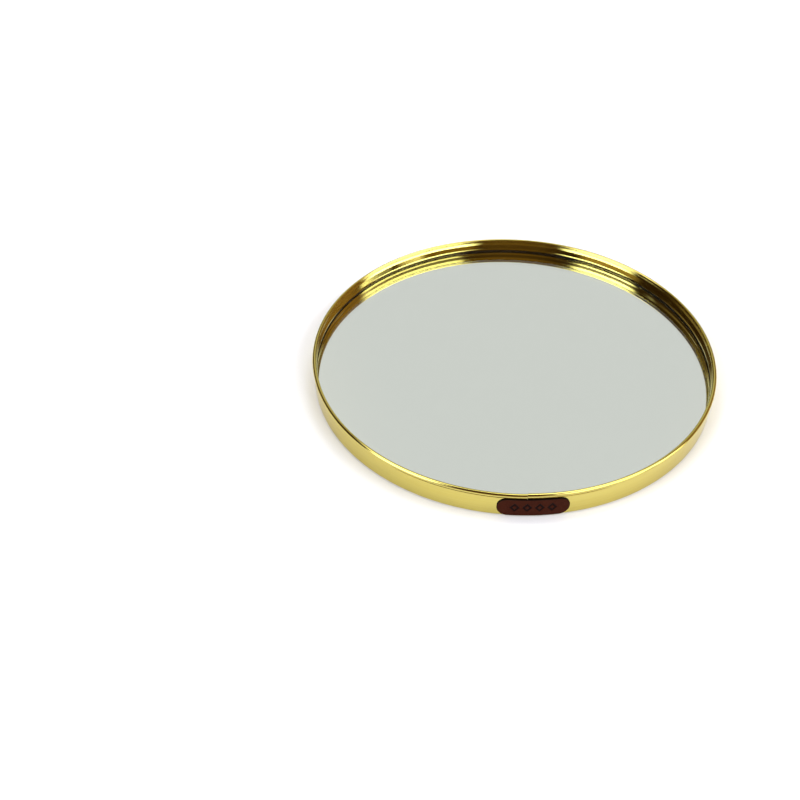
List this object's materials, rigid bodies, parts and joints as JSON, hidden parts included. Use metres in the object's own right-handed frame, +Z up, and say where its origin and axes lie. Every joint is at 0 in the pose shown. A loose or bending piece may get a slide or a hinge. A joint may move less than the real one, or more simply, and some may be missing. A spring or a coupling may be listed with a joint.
{
  "type": "round mirror tray",
  "caption": "Round decorative tray: a gold aluminium ring with a beaded lip round a mirror base, with a small leather label on its side and foam pads under it.",
  "frame": {"origin": "on the ring's axis, on the table under the foot pads, at the middle of the box's bottom face", "axes": "+Z up along the ring's axis; -Y towards the leather label; +X to the right of someone who faces it"},
  "size_m": [0.3, 0.3005, 0.02],
  "materials": {
    "ring_gold": "polished",
    "splice_aluminium": "satin",
    "rivet_aluminium": "satin",
    "label_leather": "satin",
    "adhesive_film": "satin",
    "mirror_glass": "polished",
    "mirror_silver": "polished",
    "fibre_board": "matte",
    "flock_lining": "matte",
    "foam_tape": "matte",
    "foot_foam": "matte"
  },
  "bodies": {
    "root": {"rim_ring": "ring_gold", "splice_plate": "splice_aluminium", "splice_rivets": "rivet_aluminium", "leather_label": "label_leather", "label_film": "adhesive_film", "mirror_glass": "mirror_glass", "mirror_backcoat": "mirror_silver", "backing_board": "fibre_board", "base_lining": "flock_lining", "tape_strip_1": "foam_tape", "tape_strip_2": "foam_tape", "tape_strip_3": "foam_tape", "tape_strip_4": "foam_tape", "tape_strip_5": "foam_tape", "foot_pad_1": "foot_foam", "foot_pad_2": "foot_foam", "foot_pad_3": "foot_foam", "foot_pad_4": "foot_foam", "foot_pad_5": "foot_foam", "foot_pad_6": "foot_foam"}
  },
  "joints": []
}
